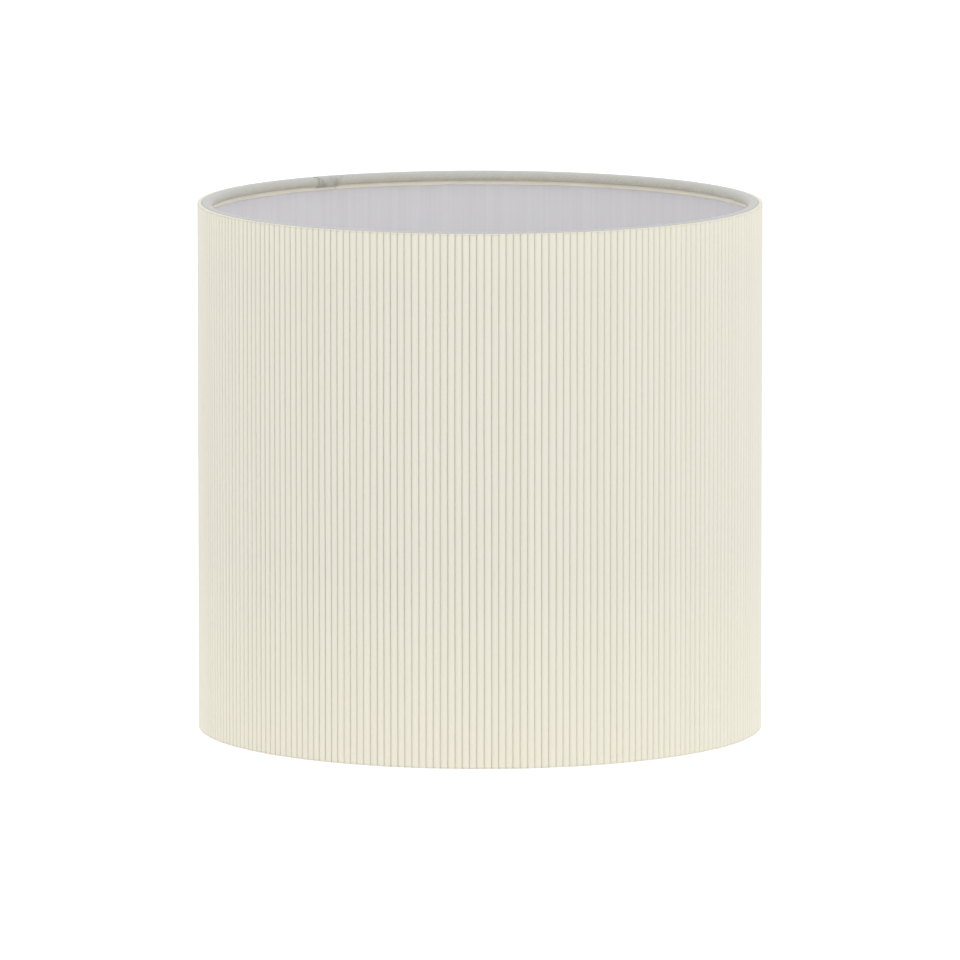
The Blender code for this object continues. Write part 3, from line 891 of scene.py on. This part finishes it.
def makeRivet(side, sign):
    # round head outside, clinched tail inside
    s = rivetSettings
    headRadius = (rivetHigh.z - rivetLow.z) / 2
    tailIn = rivetLow.x
    headOut = rivetHigh.x
    seat = padMiddle + armSettings["padThickness"] / 2 + clearance
    earFace = collarHigh.x - collarThickness - clearance
    brim = s["headEdge"]
    dome = [(headRadius * cos(a), seat + brim + (headOut - seat - brim) * sin(a))
            for a in [pi / 2 * i / 8 for i in range(8, -1, -1)]]
    tailRadius = headRadius * 0.83
    tail = [(tailRadius, earFace), (tailRadius * 0.98, earFace - 0.0005),
            (tailRadius * 0.72, tailIn + 0.0001), (tailRadius * 0.45, tailIn),
            (tailRadius * 0.3, tailIn + 0.0003), (0, tailIn + 0.00035)]
    profile = dome + [(headRadius, seat), (s["shank"], seat), (s["shank"], earFace)] + tail
    bm = bmesh.new()
    turn(bm, addProfile(bm, profile), s["steps"])
    bmesh.ops.recalc_face_normals(bm, faces=bm.faces)
    bmesh.ops.rotate(bm, verts=bm.verts, matrix=Matrix.Rotation(pi / 2, 3, "Y"))
    bmesh.ops.translate(bm, verts=bm.verts, vec=(0, 0, pivot.z))
    mirrored(bm, sign)
    piece = pieceFrom(bm, "rivet_" + side, zincPlate, "shade", "zinc_plate", "pivot_rivet_" + side)
    piece.data.set_sharp_from_angle(angle=radians(38))


def makeWasher(side, sign):
    # three-wave spring washer
    s = washerSettings
    outer = (washerHigh.z - washerLow.z) / 2
    middle = (washerHigh.x + washerLow.x) / 2
    half = s["halfThickness"]
    section = [(s["bore"], half), (outer - 0.0001, half), (outer, 0), (outer - 0.0001, -half),
               (s["bore"], -half)]
    bm = bmesh.new()
    turn(bm, addProfile(bm, section, closed=True), s["steps"])
    for vert in bm.verts:
        vert.co.z += s["wave"] * sin(3 * atan2(vert.co.y, vert.co.x))
    bmesh.ops.recalc_face_normals(bm, faces=bm.faces)
    bmesh.ops.rotate(bm, verts=bm.verts, matrix=Matrix.Rotation(pi / 2, 3, "Y"))
    bmesh.ops.translate(bm, verts=bm.verts, vec=(middle, 0, pivot.z))
    mirrored(bm, sign)
    piece = pieceFrom(bm, "springWasher_" + side, zincPlate, "shade", "zinc_plate",
                      "pivot_washer_" + side)
    piece.data.set_sharp_from_angle(angle=radians(38))


collarSettings = {
    "bore": 0.021,
    "drop": 0.0090,            # pivot down to the top face
    "lip": 0.0016,
    "earRadius": 0.0045,
    "bend": 0.0012,
    "steps": 160,
    "holeRadius": 0.0018,
    "edgeRound": 0.0004,
    "earBevel": 0.00015,
    "foot": 0.0026,            # how far an ear's foot runs in over the flat
}
collarThickness = 0.0012


def makeCollar():
    s = collarSettings
    top = pivot.z - s["drop"]
    low = top - collarThickness
    outer = collarHigh.x
    lipRadius = s["bore"] + collarThickness
    section = [(s["bore"], top), (outer, top), (outer, low), (lipRadius, low),
               (lipRadius, low - s["lip"]), (s["bore"], low - s["lip"])]
    bm = bmesh.new()
    turn(bm, addProfile(bm, roundCorners(section, s["edgeRound"], 3), closed=True), s["steps"])
    # ears: cut with the ring, then bent up; each is a plate whose foot curves into the flat
    foot = top - collarThickness / 2 - pivot.z
    bendHeight = foot + s["bend"]
    bendRun = s["bend"] * pi / 2
    bottom = bendHeight - bendRun - s["foot"]
    outline = arc((0, 0), s["earRadius"], 0, pi, 26)
    outline += [(-s["earRadius"], bottom), (s["earRadius"], bottom)]
    for sign in sideSigns.values():
        ear = bmesh.new()
        plateWithHole(ear, outline, s["holeRadius"], 24, collarThickness * 0.98)
        for i in range(9):
            height = bendHeight - bendRun * i / 8
            bmesh.ops.bisect_plane(ear, geom=ear.verts[:] + ear.edges[:] + ear.faces[:], dist=1e-7,
                                   plane_co=(0, 0, height), plane_no=(0, 0, 1))
        bmesh.ops.recalc_face_normals(ear, faces=ear.faces)
        rims = [e for e in ear.edges if len(e.link_faces) == 2 and e.calc_face_angle(0) > 1.2]
        bmesh.ops.bevel(ear, geom=rims, offset=s["earBevel"], offset_type="OFFSET", affect="EDGES",
                        segments=2, profile=0.5, material=-1, clamp_overlap=True)
        for vert in ear.verts:
            below = bendHeight - vert.co.z
            if below > 0:
                thick = vert.co.x
                theta = min(below / s["bend"], pi / 2)
                past = max(0.0, below - bendRun)
                reach = s["bend"] + thick
                vert.co.x = -s["bend"] + reach * cos(theta) - past
                vert.co.z = bendHeight - reach * sin(theta)
        bmesh.ops.translate(ear, verts=ear.verts, vec=(outer - collarThickness / 2, 0, pivot.z))
        mirrored(ear, sign)
        mesh = bpy.data.meshes.new("ear")
        ear.to_mesh(mesh)
        ear.free()
        bm.from_mesh(mesh)
        bpy.data.meshes.remove(mesh)
    bmesh.ops.recalc_face_normals(bm, faces=bm.faces)
    piece = pieceFrom(bm, "collar", powderCoat, "collar", "painted_steel", "gimbal_collar")
    piece.data.set_sharp_from_angle(angle=radians(40))


reducerSettings = {
    "bore": 0.0145,
    "flange": 0.0234,
    "wall": 0.0014,
    "gap": 0.0004,
    "flangeThickness": 0.0015,
    "webDrop": 0.0003,         # the web's underside is this far below the flange's
    "ribs": 8,
    "ribThickness": 0.0009,
    "edgeRound": 0.00035,
    "steps": 160,
}


def makeReducer():
    s = reducerSettings
    top = reducerHigh.z
    foot = reducerLow.z
    seat = top - s["flangeThickness"]
    web = seat - s["webDrop"]
    spigot = collarSettings["bore"] - s["gap"]
    tube = s["bore"] + s["wall"]
    section = [(s["bore"], top), (s["flange"], top), (s["flange"], seat), (spigot, seat),
               (spigot, foot), (spigot - s["wall"], foot), (spigot - s["wall"], web), (tube, web),
               (tube, foot), (s["bore"], foot)]
    bm = bmesh.new()
    turn(bm, addProfile(bm, roundCorners(section, s["edgeRound"], 3), closed=True), s["steps"])
    for i in range(s["ribs"]):
        made = bmesh.ops.create_cube(bm, size=1)["verts"]
        size = (spigot - tube - s["wall"] + 0.0006, s["ribThickness"], web - foot - 0.0004)
        bmesh.ops.scale(bm, verts=made, vec=size)
        middle = ((spigot - s["wall"] + tube) / 2, 0, web - size[2] / 2 + 0.0002)
        bmesh.ops.translate(bm, verts=made, vec=middle)
        azimuth = 2 * pi * (i + 0.5) / s["ribs"]
        bmesh.ops.rotate(bm, verts=made, matrix=Matrix.Rotation(azimuth, 3, "Z"))
    bmesh.ops.recalc_face_normals(bm, faces=bm.faces)
    piece = pieceFrom(bm, "reducer", mouldedPlastic, "reducer", "white_plastic", "reducer_ring")
    piece.data.set_sharp_from_angle(angle=radians(40))


for side, sign in sideSigns.items():
    weldTip = makeArm(side, sign)
    makeWeld(side, sign, weldTip)
    makeRivet(side, sign)
    makeWasher(side, sign)
makeCollar()
makeReducer()
print("fitter made")


# ---- pale floor and soft light

lightSettings = {
    "sky": 1.20,
    "key": 5.2,
    "keyPlace": (1.7, -2.2, 1.5),
    "keySize": 1.8,
    "table": 0.70,
    "aimHeight": 0.07,
    "floorHalf": 6,
}


def makeFloor():
    # white diffusing paper on a light table: bright from below, so nothing stands in its own shadow
    material, _, shader = newMaterial("backdropPaper", "#AAAAA9", 0.9)
    shader.inputs["Emission Color"].default_value = linear("#FFFFFF")
    shader.inputs["Emission Strength"].default_value = lightSettings["table"]
    bm = bmesh.new()
    bmesh.ops.create_grid(bm, x_segments=1, y_segments=1, size=lightSettings["floorHalf"])
    mesh = bpy.data.meshes.new("paperFloor")
    bm.to_mesh(mesh)
    bm.free()
    mesh.materials.append(material)
    floor = bpy.data.objects.new("paperFloor", mesh)
    bpy.context.scene.collection.objects.link(floor)


def makeLight():
    world = bpy.data.worlds.new("studio")
    world.use_nodes = True
    sky = world.node_tree.nodes["Background"]
    sky.inputs["Color"].default_value = linear("#FFFFFF")
    sky.inputs["Strength"].default_value = lightSettings["sky"]
    bpy.context.scene.world = world
    data = bpy.data.lights.new("softbox", "AREA")
    data.energy = lightSettings["key"]
    data.size = lightSettings["keySize"]
    softbox = bpy.data.objects.new("softbox", data)
    bpy.context.scene.collection.objects.link(softbox)
    softbox.location = lightSettings["keyPlace"]
    aim = Vector((0, 0, lightSettings["aimHeight"])) - softbox.location
    softbox.rotation_euler = aim.to_track_quat("-Z", "Y").to_euler()


makeFloor()
makeLight()
bpy.context.scene.view_settings.view_transform = "Standard"
print("stage set")
